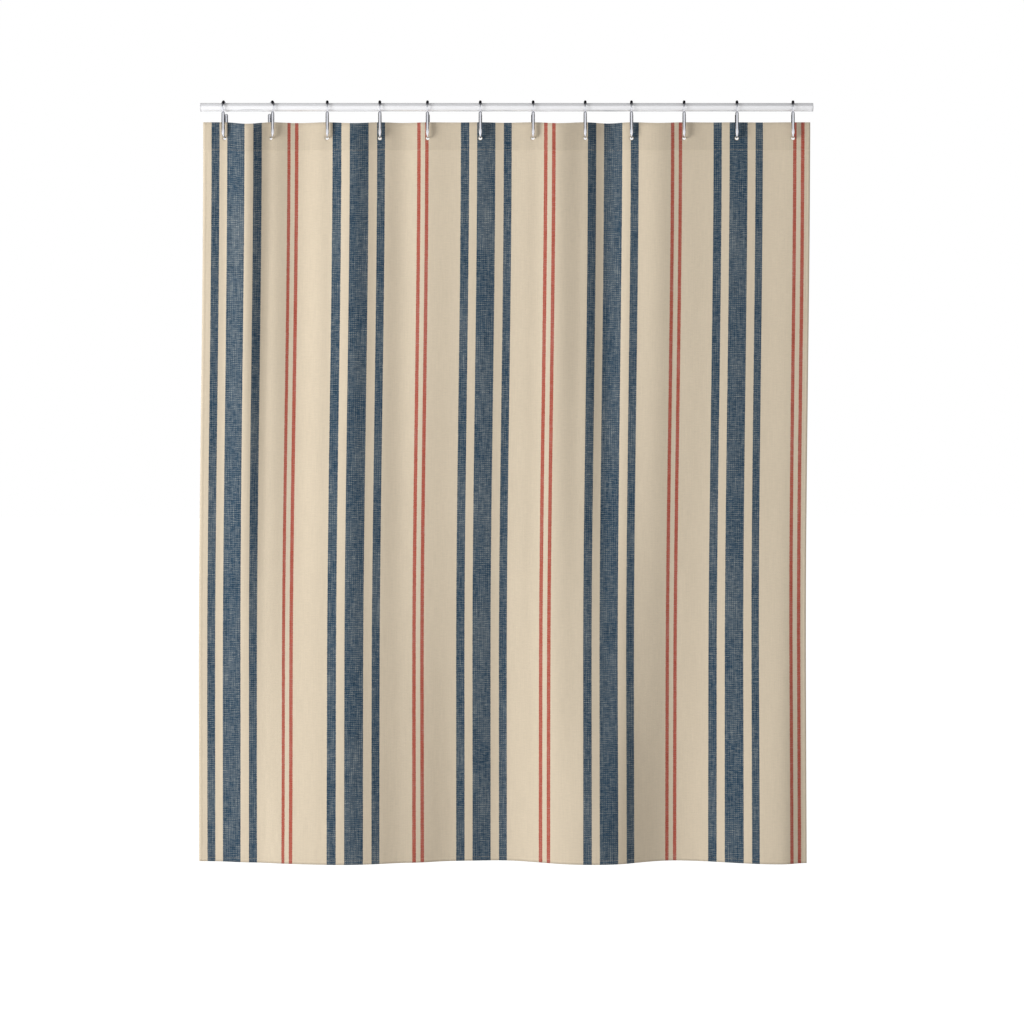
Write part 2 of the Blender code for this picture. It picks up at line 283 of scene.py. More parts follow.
floor_corners = [(x * FLOOR_SIZE, y * FLOOR_SIZE, FLOOR_Z) for x, y in ((-1, -1), (1, -1), (1, 1), (-1, 1))]
floor = mesh_object("floor", floor_corners, [(0, 1, 2, 3)], smooth=False)
paint = Finish("studio_floor", Base_Color=FLOOR_GREY, Roughness=1.0, Specular_IOR_Level=0.0)
on_matt = paint.node("ShaderNodeLightPath").outputs["Is Diffuse Ray"]
glow = paint.math("SUBTRACT", FLOOR_GLOW, paint.times(on_matt, GLOW_KEPT_BACK))
floor.data.materials.append(paint.done(Emission_Color=WHITE, Emission_Strength=glow))

# %% [markdown]
# The world is three rooms in one, told apart by the kind of ray that meets it. To the camera it is
# a white backdrop. To cloth it is an even grey light, which sets how dark a shaded fold may be. To
# polished metal it is a white room with a dim ceiling and a dark band low behind the curtain,
# because bright metal in an all-white room loses its edges.

# %% World
AMBIENT = 0.59            # light on matt things from all round
CEILING = 0.20            # brightness of the ceiling in metal
CEILING_RISE = (0.30, 0.60)    # the room darkens between these heights, as the sine of the slope
BAND_MIDDLE = 0.28        # height of the dark band's middle
BAND_HALF = (0.14, 0.26)  # half its height, where it is full and where it has faded out
BAND_SIDES = (-0.72, -0.46)    # it fades in from the sides between these, where -1 is straight ahead
BAND_DARK = 0.97          # how much light it takes away
world = bpy.data.worlds.new("studio")
bpy.context.scene.world = world
world.use_nodes = True
world.node_tree.nodes.clear()
sky = Nodes(world.node_tree)
toward = sky.node("ShaderNodeTexCoord").outputs["Generated"]
_, toward_y, toward_z = sky.node("ShaderNodeSeparateXYZ", {0: toward}).outputs
ceiling = sky.ramp(toward_z, *CEILING_RISE, 1.0, CEILING)
off_level = sky.math("ABSOLUTE", sky.math("SUBTRACT", toward_z, BAND_MIDDLE))
band = sky.times(sky.ramp(off_level, *BAND_HALF, 1.0, 0.0), sky.ramp(toward_y, *BAND_SIDES, 0.0, BAND_DARK))
mirrored = sky.times(ceiling, sky.math("SUBTRACT", 1.0, band))


def backdrop(light):
    """A background of this colour or brightness."""
    return sky.node("ShaderNodeBackground", {"Color": light}).outputs[0]


def either(which, first, second):
    """The first background where `which` is 0, and the second where it is 1."""
    return sky.node("ShaderNodeMixShader", {0: which, 1: first, 2: second}).outputs[0]


ray = sky.node("ShaderNodeLightPath").outputs
unseen = either(ray["Is Diffuse Ray"], backdrop(mirrored), backdrop((AMBIENT, AMBIENT, AMBIENT, 1.0)))
sky.node("ShaderNodeOutputWorld", {"Surface": either(ray["Is Camera Ray"], unseen, backdrop(WHITE))})
print("lamp", LAMP_WATTS, "W, light from all round", AMBIENT)

# %% [markdown]
# The cloth is cut a little wider than it hangs, and folds take up the rest. Near the top it makes
# one soft bow between each two hooks; lower down the bows run together into six broad half waves.
# A thread that runs down the cloth hangs nearly straight, but the gathering is uneven from left to
# right: at some places the cloth is drawn together, and at others it is spread. Between two hooks
# the top edge also sags, most where the cloth bows into the room.

# %% The folds the cloth hangs in
FLAT_WIDTH = 1.632
GATHERS = np.array([      # a place across the cut, and how far the gathering moves it, in metres
    (0.0000, 0.0000), (0.0215, 0.0012), (0.0495, -0.0003), (0.1565, 0.0005), (0.2575, -0.0195),
    (0.4255, -0.0079), (0.7615, -0.0060), (1.0975, -0.0030), (1.2655, -0.0028), (1.4335, -0.0046),
    (1.6015, -0.0125), (1.6320, -0.0120),
])
FOLD_SHARES = np.array([0.000, 0.228, 0.482, 0.656, 0.790, 0.958, 1.000])     # of the hung width
FOLD_DEPTHS = np.array([0.026, -0.040, 0.038, -0.041, 0.036, -0.034, -0.012])    # minus is into the room
FOLD_REACH = 2.00         # depth at which the broad folds would be full
BOWS = np.array([-24, 12, -14, 10, 3, 7, -14, 18, -10, 3, 3]) / 1000.0    # one between each two hooks
DROOP = 0.33              # sag between two hooks, as a share of the bow there
DROOP_REACH = 0.60        # depth at which the sag has gone
SIDE_LEAN = 0.013         # how far the lower edge hangs to the left
LEAN_REACH = 1.40         # depth at which that lean is complete
hook_shares = (HOOK_X - CLOTH_LEFT) / HUNG_WIDTH


def ease(share):
    """3s^2 - 2s^3 between 0 and 1: a step with level ends."""
    share = np.clip(share, 0.0, 1.0)
    return share * share * (3.0 - 2.0 * share)


def span_of(stops, at):
    """The number of the stretch between two stops that each place lies in."""
    return np.clip(np.searchsorted(stops, at, side="right") - 1, 0, len(stops) - 2)


def hung_share(flat_at):
    """Share of the hung width at a place across the cut: the place and its gathering, over their end."""
    at, shift = GATHERS.T
    span = span_of(at, flat_at)
    part = ease((flat_at - at[span]) / (at[span + 1] - at[span]))
    moved = flat_at + shift[span] + (shift[span + 1] - shift[span]) * part
    return moved / (FLAT_WIDTH + shift[-1])


def broad_fold(share):
    """Half a cosine wave from each fold's crest to the next fold's trough."""
    span = span_of(FOLD_SHARES, share)
    left, right = FOLD_SHARES[span], FOLD_SHARES[span + 1]
    part = (1.0 - np.cos(np.pi * (share - left) / (right - left))) / 2.0
    return FOLD_DEPTHS[span] + (FOLD_DEPTHS[span + 1] - FOLD_DEPTHS[span]) * part


def hook_bow(share):
    """Squared sine between each two hooks, so the cloth is flat where a hook passes through it."""
    span = span_of(hook_shares, share)
    left, right = hook_shares[span], hook_shares[span + 1]
    inside = (share > hook_shares[0]) & (share < hook_shares[-1])
    return np.where(inside, BOWS[span] * np.sin(np.pi * (share - left) / (right - left)) ** 2, 0.0)


def level_line(depth, flat_at):
    """Points across the cloth at one depth: bows that fade into broad folds, a lean and a sag."""
    share = hung_share(flat_at)
    full = ease(depth / FOLD_REACH) ** 2
    bow = hook_bow(share)
    x = CLOTH_LEFT + share * HUNG_WIDTH - SIDE_LEAN * ease(depth / LEAN_REACH)
    sag = DROOP * np.minimum(bow, 0.0) * (1.0 - ease(depth / DROOP_REACH))
    z = CLOTH_TOP - depth + sag
    return np.stack([x, (1.0 - full) * bow + full * broad_fold(share), z], 1)


# %% [markdown]
# The simulated mesh is a plain grid whose lines run through every buttonhole, so that each hook
# holds a point of the mesh. The grid is coarse, about 15 mm, because folds this soft need no more.
# The header is two layers stitched together and stiff, so its rows are held where the hooks hold
# them. Below it the cloth is drawn only lightly to its first folds, and gravity and its own
# stiffness settle it. The result is kept as plain points.

# %% Simulate the hanging cloth
PER_HOOK = 10             # grid columns from hook to hook
HELD_ROWS = 4             # rows of the stitched header, down to the buttonholes
LOOSE = 0.12              # how much the rest is drawn to its first folds
ROW_STEP = 0.0165         # from row to row below the header
MARGIN_COLUMNS = 4        # grid columns beyond the first hook and the last
FRAMES = 45
fine = np.linspace(0.0, FLAT_WIDTH, 8001)
HOOK_U = np.interp(hook_shares, hung_share(fine), fine)
edges = np.concatenate([[0.0], HOOK_U, [FLAT_WIDTH]])
counts = [MARGIN_COLUMNS] + [PER_HOOK] * (len(HOOKS) - 1) + [MARGIN_COLUMNS]
runs = [np.linspace(a, b, n, endpoint=False) for a, b, n in zip(edges, edges[1:], counts)]
SIM_U = np.concatenate([*runs, [FLAT_WIDTH]])
above = np.linspace(0.0, HOLE_DEPTH, HELD_ROWS)
below = np.linspace(HOLE_DEPTH, CLOTH_HEIGHT, int((CLOTH_HEIGHT - HOLE_DEPTH) / ROW_STEP))[1:]
SIM_V = np.concatenate([above, below])
start = np.array([level_line(depth, SIM_U) for depth in SIM_V])
print("grid", start.shape[:2], "flat hook gaps", np.diff(HOOK_U).round(4))


def simulate(points, frames):
    """Hangs the grid by its header under gravity and returns where its points come to."""
    rows, columns = points.shape[:2]
    cloth = mesh_object("hanging_cloth", points, grid_faces(rows, columns))
    pins = cloth.vertex_groups.new(name="header")
    pins.add(list(range(rows * columns)), LOOSE, "REPLACE")
    pins.add(list(range(HELD_ROWS * columns)), 1.0, "REPLACE")
    made = cloth.modifiers.new("Cloth", "CLOTH")
    fabric = made.settings
    fabric.quality = 6
    fabric.mass = 0.25
    fabric.tension_stiffness = 30
    fabric.compression_stiffness = 30
    fabric.shear_stiffness = 12
    fabric.bending_stiffness = 3.0
    fabric.tension_damping = 25
    fabric.compression_damping = 25
    fabric.shear_damping = 15
    fabric.bending_damping = 1.0
    fabric.air_damping = 4.0
    fabric.vertex_group_mass = "header"
    fabric.pin_stiffness = 1.0
    made.collision_settings.use_collision = False
    made.collision_settings.use_self_collision = False
    made.point_cache.frame_start = 1
    made.point_cache.frame_end = frames
    scene = bpy.context.scene
    scene.frame_start, scene.frame_end = 1, frames
    for number in range(1, frames + 1):
        scene.frame_set(number)
    shaped = cloth.evaluated_get(bpy.context.evaluated_depsgraph_get())
    settled = np.zeros(rows * columns * 3)
    shaped.to_mesh().vertices.foreach_get("co", settled)
    shaped.to_mesh_clear()
    scene.frame_set(1)
    bpy.data.objects.remove(cloth, do_unlink=True)
    return settled.reshape(points.shape)


settled = simulate(start, FRAMES)
moved = np.linalg.norm(settled - start, axis=2)
print("cloth moved", moved.mean().round(4), "m on average and", moved.max().round(4), "m at most")

# %% [markdown]
# The finished cloth is read off the settled grid on finer lines, through smooth curves, with extra
# lines along each seam. Small things come on top: the stitched seams sit a fraction of a
# millimetre lower than the cloth beside them, and the cloth puckers a little along them.

# %% A smooth cloth surface from the settled grid
def through(at, values, wanted):
    """Smooth curves through rows of values at the places `at`, read at the wanted places.

    Each stretch is the cubic that meets its neighbours with the same slope.
    """
    slopes = np.gradient(values, at, axis=0)
    span = span_of(at, wanted)
    gap = at[span + 1] - at[span]
    t = ((wanted - at[span]) / gap).reshape(-1, *[1] * (values.ndim - 1))
    gap = gap.reshape(t.shape)
    return ((2 * t**3 - 3 * t**2 + 1) * values[span] + (t**3 - 2 * t**2 + t) * gap * slopes[span]
            + (-2 * t**3 + 3 * t**2) * values[span + 1] + (t**3 - t**2) * gap * slopes[span + 1])


def surface(u, v):
    """Points of the cloth's middle layer at every pair of flat places u across and v down."""
    rows = through(SIM_V, settled, v)
    return through(SIM_U, rows.transpose(1, 0, 2), u).transpose(1, 0, 2)


def facing(points):
    """Unit normals of a grid of points, out of the back of the cloth."""
    across = np.gradient(points, axis=1)
    down = np.gradient(points, axis=0)
    normal = np.cross(down, across)
    normal /= np.linalg.norm(normal, axis=2, keepdims=True)
    return normal if normal[..., 1].mean() > 0 else -normal


# %% [markdown]
# Each layer of cloth is one closed sheet: a front, a back a millimetre behind it, and a strip
# round the edge that joins them. The sheet keeps its flat coordinates as a UV map, in metres, so
# that stripes and weave follow the cloth and not the room.

# %% Layers and seams
PANEL_THICK = 0.0010
HEM_THICK = 0.0009
LAYER_GAP = 0.0002
hem_low, hem_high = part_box("bottom_hem")
HEADER_DEPTH = CLOTH_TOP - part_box("top_hem")[0].z
BOTTOM_HEM = hem_high.z - hem_low.z
SIDE_HEM = 0.0105
LAYER_STEP = PANEL_THICK / 2 + LAYER_GAP + HEM_THICK / 2
SEAM_INSET = 0.0018       # stitches lie this far inside the hem's inner edge
HEADER_SEAM = HEADER_DEPTH - SEAM_INSET
BOTTOM_SEAM = CLOTH_HEIGHT - BOTTOM_HEM + SEAM_INSET
SIDE_SEAM = SIDE_HEM - SEAM_INSET
SEAM_DIP = 0.00035        # how deep a seam lies in the cloth
SEAM_HALF = 0.0016        # half its width
PUCKER = 0.00030          # height of the puckers beside it
print("header", round(HEADER_DEPTH, 4), "m deep, bottom hem", round(BOTTOM_HEM, 4), "m")


def wander(at, waves, seed):
    """A smooth wandering line: the mean of sine waves of the given lengths, each started at random."""
    starts = np.random.default_rng(seed).uniform(0, 2 * np.pi, len(waves))
    return sum(np.sin(2 * np.pi * at / wave + start) for wave, start in zip(waves, starts)) / len(waves)


def near(distance, width):
    """A bell curve: 1 at no distance, falling to nothing over a few widths."""
    return np.exp(-(distance / width) ** 2)


def seam_press(u, v):
    """How far a seam pulls the cloth back: a narrow dip along each seam, and puckers beside it."""
    u, v = np.meshgrid(u, v)
    head, foot = v - HEADER_SEAM, v - BOTTOM_SEAM
    side = np.minimum(np.abs(u - SIDE_SEAM), np.abs(u - (FLAT_WIDTH - SIDE_SEAM)))
    dip = near(head, SEAM_HALF) + near(foot, SEAM_HALF) + near(side, SEAM_HALF)
    along_u = wander(u, (0.017, 0.023, 0.041), 3)
    along_v = wander(v, (0.019, 0.027, 0.047), 5)
    pucker = along_u * (near(head, 0.012) + near(foot, 0.010)) + along_v * near(side, 0.010)
    return SEAM_DIP * dip + PUCKER * pucker


# %% Lines of the cloth grid
CLEAR_SHARE = 0.55        # an even line gives way if it is nearer than this share of the finest gap
CLOSE_END = 0.004         # gap taken after the last close line


def even_lines(low, high, step):
    """Places from low to high, about a step apart."""
    return np.linspace(low, high, max(2, int(round((high - low) / step)) + 1))


def cloth_lines(stops, step, close):
    """Even lines from stop to stop, and lines at set offsets from chosen places: (place, offsets)."""
    lines = np.concatenate([even_lines(a, b, step) for a, b in zip(stops, stops[1:])])
    for stop, offsets in close:
        beside = stop + np.array(offsets)
        beside = beside[(beside >= stops[0]) & (beside <= stops[-1])]
        finest = np.diff(np.append(beside, beside[-1] + CLOSE_END)).min()
        clear = np.abs(lines[:, None] - beside[None, :]).min(axis=1) > CLEAR_SHARE * finest
        lines = np.concatenate([lines[clear], beside])
    return np.unique(lines.round(7))


# %% Closed sheets with open holes
def closed_sheet(rows, columns, gone):
    """Faces of a sheet: front, rear, edge, and a wall round each (row, column) whose faces are gone."""
    count = rows * columns
    index = np.arange(count).reshape(rows, columns)
    sheet = grid_faces(rows, columns)
    kept = np.ones((rows - 1, columns - 1), bool)
    for r, c in gone:
        kept[r - 1:r + 1, c - 1:c + 1] = False
    sheet = sheet[kept.ravel()]
    loops = [np.concatenate([index[0, :-1], index[:-1, -1], index[-1, :0:-1], index[:0:-1, 0]])]
    round_a_hole = ((-1, -1), (-1, 0), (-1, 1), (0, 1), (1, 1), (1, 0), (1, -1), (0, -1))
    loops += [np.array([index[r + down, c + along] for down, along in round_a_hole]) for r, c in gone]
    ahead = [np.roll(loop, -1) for loop in loops]
    walls = [np.stack([loop, loop + count, after + count, after], 1) for loop, after in zip(loops, ahead)]
    return np.concatenate([sheet, sheet[:, ::-1] + count, *walls])


def open_hole(values, r, c, hole):
    """Moves the four points beside a hole outward, so that its eight corners lie on an oval."""
    share_u, share_v = hole
    for side in (-1, 1):
        values[r, c + side] += share_u * (values[r, c + 2 * side] - values[r, c + side])
        values[r + side, c] += share_v * (values[r + 2 * side, c] - values[r + side, c])


def cloth_layer(name, u, v, behind, thick, holes=False):
    """A closed sheet over the flat places u and v, a set distance behind the middle layer."""
    middle_layer = surface(u, v)
    normal = facing(middle_layer)
    centre = middle_layer + normal * (behind + seam_press(u, v))[..., None]
    flat = np.stack(np.meshgrid(u, v), 2)
    r = int(np.searchsorted(v, HOLE_DEPTH - 1e-6))
    gone = [(r, int(c)) for c in np.searchsorted(u, HOOK_U - 1e-6)] if holes else []
    for row, column in gone:
        open_hole(centre, row, column, HOLE_SHARES)
        open_hole(flat, row, column, HOLE_SHARES)
    front, rear = centre - normal * thick / 2, centre + normal * thick / 2
    used, faces = np.unique(closed_sheet(len(v), len(u), gone), return_inverse=True)
    faces = faces.reshape(-1, 4)
    points = np.concatenate([front.reshape(-1, 3), rear.reshape(-1, 3)])[used]
    flat = np.tile(flat.reshape(-1, 2), (2, 1))[used]
    thing = mesh_object(name, points, faces)
    outward(thing, merge=False)
    corners = np.zeros(len(thing.data.loops), int)
    thing.data.loops.foreach_get("vertex_index", corners)
    thing.data.uv_layers.new(name="flat").data.foreach_set("uv", flat[corners].ravel())
    print(name, len(v), "by", len(u), "lines,", len(faces), "faces")
    return thing


# %% [markdown]
# A buttonhole goes right through the header. The lines of the cloth run through the middle of each
# hole and close beside it, so the four faces round that middle can simply be left out, and the
# eight points round the gap lie on an oval. The stitched rim made next covers the cut edge.

# %% Buttonhole sizes
HOLE_HALF_WIDTH = 0.0040
HOLE_HALF_HEIGHT = 0.0036
RIM_WIDTH = 0.0017
CUT_HALF_WIDTH = HOLE_HALF_WIDTH + 0.5 * RIM_WIDTH
CUT_HALF_HEIGHT = HOLE_HALF_HEIGHT + 0.5 * RIM_WIDTH
HOLE_OUTER = 0.0085       # the next line of cloth outside a hole
DIAGONAL = math.sqrt(0.5)
HOLE_SHARES = [
    half * (1 - DIAGONAL) / (HOLE_OUTER - half * DIAGONAL) for half in (CUT_HALF_WIDTH, CUT_HALF_HEIGHT)]


def hole_lines(half):
    """Lines of cloth beside a hole, at the corners of an oval with this half size."""
    return (-HOLE_OUTER, -half * DIAGONAL, 0.0, half * DIAGONAL, HOLE_OUTER)


# %% Make the panel and its hems
SEAM_LINES = (-0.0034, -SEAM_HALF, 0.0, SEAM_HALF, 0.0034)
across_holes = [(at, hole_lines(CUT_HALF_WIDTH)) for at in HOOK_U]
down_hole = [(HOLE_DEPTH, hole_lines(CUT_HALF_HEIGHT))]
side_seams = [(SIDE_SEAM, SEAM_LINES), (FLAT_WIDTH - SIDE_SEAM, SEAM_LINES)]
PANEL_U = cloth_lines([0.0, *HOOK_U, FLAT_WIDTH], 0.0092, across_holes + side_seams)
header_stops = [0.0, HOLE_DEPTH, HEADER_DEPTH]
header_close = down_hole + [(HEADER_SEAM, SEAM_LINES)]
TOP_V = cloth_lines(header_stops, 0.009, header_close)
PANEL_V = cloth_lines([*header_stops, CLOTH_HEIGHT], 0.0125, header_close + [(BOTTOM_SEAM, SEAM_LINES)])
LOW_V = cloth_lines([CLOTH_HEIGHT - BOTTOM_HEM, CLOTH_HEIGHT], 0.003, [(BOTTOM_SEAM, SEAM_LINES)])
SIDE_V = even_lines(HEADER_DEPTH + LAYER_GAP, CLOTH_HEIGHT - BOTTOM_HEM - LAYER_GAP, 0.0125)
LEFT_U = cloth_lines([0.0, SIDE_HEM], 0.0026, [(SIDE_SEAM, SEAM_LINES)])
panel = cloth_layer("curtain_cloth", PANEL_U, PANEL_V, 0.0, PANEL_THICK, True)
top_hem = cloth_layer("top_hem_cloth", PANEL_U, TOP_V, LAYER_STEP, HEM_THICK, True)
bottom_hem = cloth_layer("bottom_hem_cloth", PANEL_U, LOW_V, LAYER_STEP, HEM_THICK)
left_hem = cloth_layer("left_hem_cloth", LEFT_U, SIDE_V, LAYER_STEP, HEM_THICK)
right_hem = cloth_layer("right_hem_cloth", FLAT_WIDTH - LEFT_U[::-1], SIDE_V, LAYER_STEP, HEM_THICK)

# %% [markdown]
# The ticking cloth is a plain weave of thick, uneven yarn: cream, with a band of one wide and two
# narrow blue stripes, and a pair of thin red ones between the bands. The stripes come from the
# flat coordinate across the cloth. The yarn shows as fine bump, as slubs that are drawn out along
# each thread, and as pale flecks where a cream thread crosses a dyed one.

# %% Stripes and yarn
NARROW_BLUE = 0.0212
BLUE_GAP = 0.0220
WIDE_BLUE = 0.0483
CREAM_BAND = 0.0855
RED_STRIPE = 0.0093
RED_GAP = 0.0119
FIRST_STRIPE = 0.0215     # from the left edge of the cut to the first blue stripe
REPEAT = (
    ("blue", NARROW_BLUE), ("cream", BLUE_GAP), ("blue", WIDE_BLUE), ("cream", BLUE_GAP),
    ("blue", NARROW_BLUE), ("cream", CREAM_BAND),
    ("red", RED_STRIPE), ("cream", RED_GAP), ("red", RED_STRIPE), ("cream", CREAM_BAND),
)
PERIOD = sum(width for _, width in REPEAT)
RAGGED = 0.0016           # how far the edge of a stripe wanders
YARN = {"cream": colour(222, 207, 183), "blue": colour(40, 69, 91), "red": colour(186, 88, 70)}
FADES = {"cream": 0.0, "blue": 1.0, "red": 0.6}      # how much the pale threads show through each dye
WASHED_OUT = colour(176, 178, 172)
DEEP_DYE = colour(150, 160, 172)
print("stripe repeat", round(PERIOD, 4), "m")


def stripe_ramp(finish, across, value):
    """A stepped ramp over one repeat. value(yarn) gives the colour held through each stripe."""
    place = finish.math("FRACT", finish.math("DIVIDE", finish.math("SUBTRACT", across, FIRST_STRIPE), PERIOD))
    made = finish.node("ShaderNodeValToRGB", {"Fac": place})
    steps = made.color_ramp
    steps.interpolation = "CONSTANT"
    begin = 0.0
    for number, (yarn, width) in enumerate(REPEAT):
        stop = steps.elements[0] if number == 0 else steps.elements.new(begin / PERIOD)
        stop.position = begin / PERIOD
        stop.color = value(yarn)
        begin += width
    steps.elements.remove(steps.elements[-1])
    return made.outputs["Color"]


# %% Ticking cloth material
WARP_PITCH = 0.0016
WEFT_PITCH = 0.0018
GRAIN_PITCH = 0.0052      # the coarse grain that the thickest threads make
FLECK = 0.24              # share of pale thread across the cloth
STREAK = 0.24             # and down it
GRAIN = 0.44              # in the coarse grain
WORN = 0.14               # and in broad worn clouds
THREAD_TONE, CLOUD_TONE = 0.16, 0.08      # how far threads and large clouds move the brightness
RELIEF = 0.00035


def threads_in(finish, flat):
    """Noise drawn out along the weft and along the warp, then broad clouds and small patches."""
    weft = finish.noise(finish.stretched(flat, (60.0, 330.0, 1.0)), 1.0, 3.0, 0.6)
    warp = finish.noise(finish.stretched(flat, (380.0, 16.0, 1.0), (3.1, 1.7, 0.0)), 1.0, 3.0, 0.6)
    clouds = finish.noise(finish.stretched(flat, (14.0, 4.5, 1.0), (7.0, 2.0, 0.0)), 1.0, 3.0, 0.55)
    patches = finish.noise(finish.stretched(flat, (70.0, 90.0, 1.0), (1.3, 4.1, 0.0)), 1.0, 1.0)
    return weft, warp, clouds, patches


def grain_in(finish, across, down, patches):
    """Crossed sine waves at the coarse pitch, which drift and come and go with the patches."""
    drift = finish.times(patches, 5.0)
    picks, ends = [
        finish.math("SINE", finish.plus(finish.times(at, 2 * math.pi / GRAIN_PITCH), drift))
        for at in (down, across)]
    crossed = finish.plus(finish.times(picks, 0.6), finish.times(ends, 0.4))
    return finish.times(finish.ramp(crossed, -0.1, 1.0), finish.ramp(patches, 0.25, 0.65))


def weave_in(finish, across, down):
    """Half the product of a sine across and a sine down: the ups and downs of a plain weave."""
    warp, weft = [
        finish.math("SINE", finish.times(at, math.pi / pitch))
        for at, pitch in ((across, WARP_PITCH), (down, WEFT_PITCH))]
    return finish.times(finish.times(warp, weft), 0.5)


def ticking(name, shade=1.0):
    """The striped cloth, on the sheet's flat coordinates in metres."""
    finish = Finish(name, Roughness=0.92, Sheen_Weight=0.15, Sheen_Roughness=0.5, Specular_IOR_Level=0.2)
    flat = finish.node("ShaderNodeUVMap", uv_map="flat").outputs[0]
    across, down, _ = finish.node("ShaderNodeSeparateXYZ", {0: flat}).outputs
    wobble = finish.noise(finish.stretched(flat, (30.0, 420.0, 1.0)), 1.0, 1.0)
    striped_at = finish.plus(across, finish.times(finish.math("SUBTRACT", wobble, 0.5), RAGGED))
    base = stripe_ramp(finish, striped_at, lambda yarn: YARN[yarn])
    dyed = stripe_ramp(finish, striped_at, lambda yarn: (FADES[yarn],) * 3 + (1.0,))
    weft, warp, clouds, patches = threads_in(finish, flat)
    fleck = finish.times(finish.ramp(weft, 0.50, 0.72), FLECK)
    fleck = finish.plus(fleck, finish.times(grain_in(finish, across, down, patches), GRAIN))
    streak = finish.times(finish.ramp(warp, 0.50, 0.74), STREAK)
    worn = finish.times(finish.ramp(clouds, 0.42, 0.75), WORN)
    faded = finish.plus(finish.plus(fleck, streak), worn)
    washed = finish.mix(finish.times(faded, dyed), base, WASHED_OUT)
    threads = finish.plus(weft, warp)
    dark = finish.times(finish.ramp(threads, 1.0, 0.74), dyed)
    deep = finish.mix(finish.times(dark, 0.5), washed, DEEP_DYE, "MULTIPLY")
    tone = finish.times(finish.math("SUBTRACT", threads, 1.0), THREAD_TONE)
    tone = finish.plus(tone, finish.times(finish.math("SUBTRACT", clouds, 0.5), CLOUD_TONE))
    # Painted shade: `shade` lowers the whole cloth's brightness where less light would come through it.
    tone = finish.plus(tone, shade)
    grey = finish.node("ShaderNodeCombineColor", {0: tone, 1: tone, 2: tone}).outputs[0]
    woven = finish.mix(1.0, deep, grey, "MULTIPLY")
    relief = finish.bump(finish.plus(weave_in(finish, across, down), threads), RELIEF, 0.7)
    return finish.done(Base_Color=woven, Normal=relief)


# %% Put the cloth's materials on
TICKING = ticking("ticking_cloth")
# Painted shade: the header is painted a touch darker, as two layers let less light through.
HEADER_PAINTED_SHADE_CLOTH = ticking("header_cloth_painted_shade", 0.94)      # two layers show no light through, so a touch darker
# Painted shade: the hem layers are painted a little darker, for double cloth that lets less light through.
HEM_PAINTED_SHADE_CLOTH = ticking("hem_cloth", 0.97)
panel.data.materials.append(TICKING)
panel.data.materials.append(HEADER_PAINTED_SHADE_CLOTH)
for thing in (top_hem, bottom_hem, left_hem, right_hem):
    thing.data.materials.append(HEM_PAINTED_SHADE_CLOTH)
# The faces above the header seam take the header's painted shade.
flat_uv = np.zeros(len(panel.data.loops) * 2)
panel.data.uv_layers["flat"].data.foreach_get("uv", flat_uv)
painted_shade_faces = flat_uv[1::2].reshape(-1, 4).mean(axis=1) < HEADER_SEAM
panel.data.polygons.foreach_set("material_index", painted_shade_faces.astype(int))
panel.data.update()


# %% [markdown]
# The rim of a buttonhole is worked in close stitches round an oval. It is a ring swept round the
# opening, with a small ridge for each stitch, deep enough to hold the panel and the hem together.

# %% Stitched buttonhole rims
STITCHES_ROUND = 40
RIDGE_WIDE = 0.14         # what each stitch adds to the rim's width, as a share of it
RIM_DEEP = PANEL_THICK / 2 + LAYER_STEP + HEM_THICK / 2
RIM_STANDS = 0.60         # half the rim's depth between stitches, as a share of RIM_DEEP
RIDGE_STANDS = 0.10       # what each stitch adds to that
BESIDE_HOLE = 0.004       # the cloth's lie at a hole is measured this far out


def stitched_rim(name, centre, axes):
    """A ring round an oval: x = (a + r cos q) cos p, z = (b + r cos q) sin p and y = d sin q.

    The radius r and the depth d rise at each stitch. The axes are the cloth's own at the hole:
    along its width, out of its back, and up.
    """
    around, section = STITCHES_ROUND * 4, 12
    p = np.linspace(0, 2 * np.pi, around, endpoint=False)[None, :]
    q = np.linspace(0, 2 * np.pi, section, endpoint=False)[:, None]
    ridge = 0.5 + 0.5 * np.cos(STITCHES_ROUND * p + 0.5 * np.sin(q))
    half = RIM_WIDTH / 2 * (1 - RIDGE_WIDE + RIDGE_WIDE * ridge)
    out = half * np.cos(q)
    x = (HOLE_HALF_WIDTH + RIM_WIDTH / 2 + out) * np.cos(p)
    z = (HOLE_HALF_HEIGHT + RIM_WIDTH / 2 + out) * np.sin(p)
    y = LAYER_STEP / 2 + (RIM_STANDS + RIDGE_STANDS * ridge) * RIM_DEEP * np.sin(q)
    points = np.stack([x, y, z], 2) @ axes + centre
    thing = mesh_object(name, points, grid_faces(section, around, True, True))
    outward(thing)
    return thing


thread = Finish("buttonhole_thread", Roughness=0.8, Sheen_Weight=0.2, Specular_IOR_Level=0.3)
spot = thread.node("ShaderNodeTexCoord").outputs["Object"]
fuzz = thread.noise(spot, 2600.0, 3.0)
thread_colour = thread.mix(fuzz, colour(196, 182, 158), colour(222, 207, 182))
THREAD = thread.done(Base_Color=thread_colour, Normal=thread.bump(fuzz, 0.00012, 0.6))
beside_u = np.sort(np.concatenate([HOOK_U - BESIDE_HOLE, HOOK_U, HOOK_U + BESIDE_HOLE]))
beside_v = HOLE_DEPTH + BESIDE_HOLE * np.array([-1, 0, 1])
near_holes = surface(beside_u, beside_v)
for index, number in enumerate(HOOKS):
    patch = near_holes[:, 3 * index:3 * index + 3]
    along = patch[1, 2] - patch[1, 0]
    along /= np.linalg.norm(along)
    back = np.cross(patch[0, 1] - patch[2, 1], along)
    back /= np.linalg.norm(back)
    axes = np.array([along, back, np.cross(along, back)])
    rim = stitched_rim(f"buttonhole_rim_{number}", patch[1, 1], axes)
    rim.data.materials.append(THREAD)
    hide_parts(f"buttonhole_{number}")
    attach(rim, f"hook_{number}")
